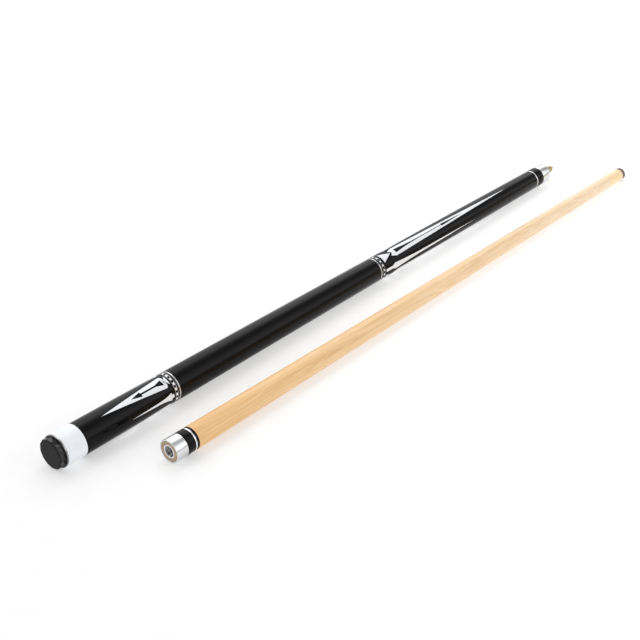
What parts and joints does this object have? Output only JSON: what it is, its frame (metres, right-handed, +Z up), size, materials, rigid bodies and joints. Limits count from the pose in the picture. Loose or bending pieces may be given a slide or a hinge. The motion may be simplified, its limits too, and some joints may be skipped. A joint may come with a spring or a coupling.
{
  "type": "pool cue",
  "caption": "Two-piece pool cue with its halves unscrewed: black butt with white points, cap and rubber bumper, and a maple shaft with ferrule and leather tip.",
  "frame": {"origin": "on the ground under the middle of the box round both halves as they lie side by side", "axes": "+X along both halves, from the bumper towards the tip; +Y from the shaft towards the butt; +Z up"},
  "size_m": [0.7869, 0.0896, 0.0296],
  "materials": {
    "black_rubber": "matte moulded rubber, 13 lobes round its side",
    "white_plastic": "glossy white plastic",
    "black_lacquer": "wood under glossy black lacquer",
    "black_plastic": "glossy black plastic",
    "silver": "polished silver-coloured ring",
    "steel": "turned and polished",
    "screw_steel": "plain machined, hidden inside",
    "brass": "threaded pin",
    "maple": "pale maple, clear satin finish",
    "ferrule_resin": "cream resin",
    "fibre": "thin fibre pad",
    "leather": "pressed leather, domed"
  },
  "bodies": {
    "butt": {"butt_cap": "white_plastic", "butt_sleeve": "black_lacquer", "ring_a_band": "black_plastic", "ring_a_inlay": "white_plastic", "ring_a_silver": "silver", "handle": "black_lacquer", "handle_screw": "screw_steel", "ring_b_silver": "silver", "ring_b_band": "black_plastic", "ring_b_inlay": "white_plastic", "forearm": "black_lacquer", "joint_trim_ring": "silver", "joint_black_collar": "black_plastic", "joint_steel_collar": "steel", "joint_pin": "brass"},
    "bumper_carriage": {"bumper_washer": "screw_steel"},
    "bumper": {"bumper": "black_rubber", "bumper_stud": "screw_steel"},
    "weight_bolt": {"weight_bolt": "screw_steel"},
    "shaft_carriage": {"shaft_steel_collar": "steel"},
    "shaft": {"shaft_insert": "steel", "shaft_black_collar": "black_plastic", "shaft_trim_ring": "silver", "shaft_end_ring": "black_plastic", "shaft_wood": "maple", "ferrule": "ferrule_resin", "tip_pad": "fibre", "leather_tip": "leather"}
  },
  "joints": [
    {"name": "shaft_carry", "type": "slide", "parent": "butt", "child": "shaft_carriage", "axis": [0.998, 0.0628, 0], "range_m": [0, 1.022]},
    {"name": "shaft_turn", "type": "hinge", "parent": "shaft_carriage", "child": "shaft", "pos_m": [-0.3245, -0.03414, 0.0107], "axis": [1, 0, -0.0057], "continuous": true},
    {"name": "bumper_travel", "type": "slide", "parent": "butt", "child": "bumper_carriage", "axis": [-1, 0, 0.0057], "range_m": [0, 0.0255]},
    {"name": "bumper_turn", "type": "hinge", "parent": "bumper_carriage", "child": "bumper", "pos_m": [-0.3935, 0.03006, 0.01483], "axis": [-1, 0, 0.0057], "range_deg": [0, 5760]},
    {"name": "weight_bolt_travel", "type": "slide", "parent": "butt", "child": "weight_bolt", "axis": [-1, 0, 0.0057], "range_m": [-0.007, 0.013]}
  ],
  "couplings": [
    {"joint": "bumper_travel", "follows": "bumper_turn", "m_per_rad": 0.00025266}
  ]
}
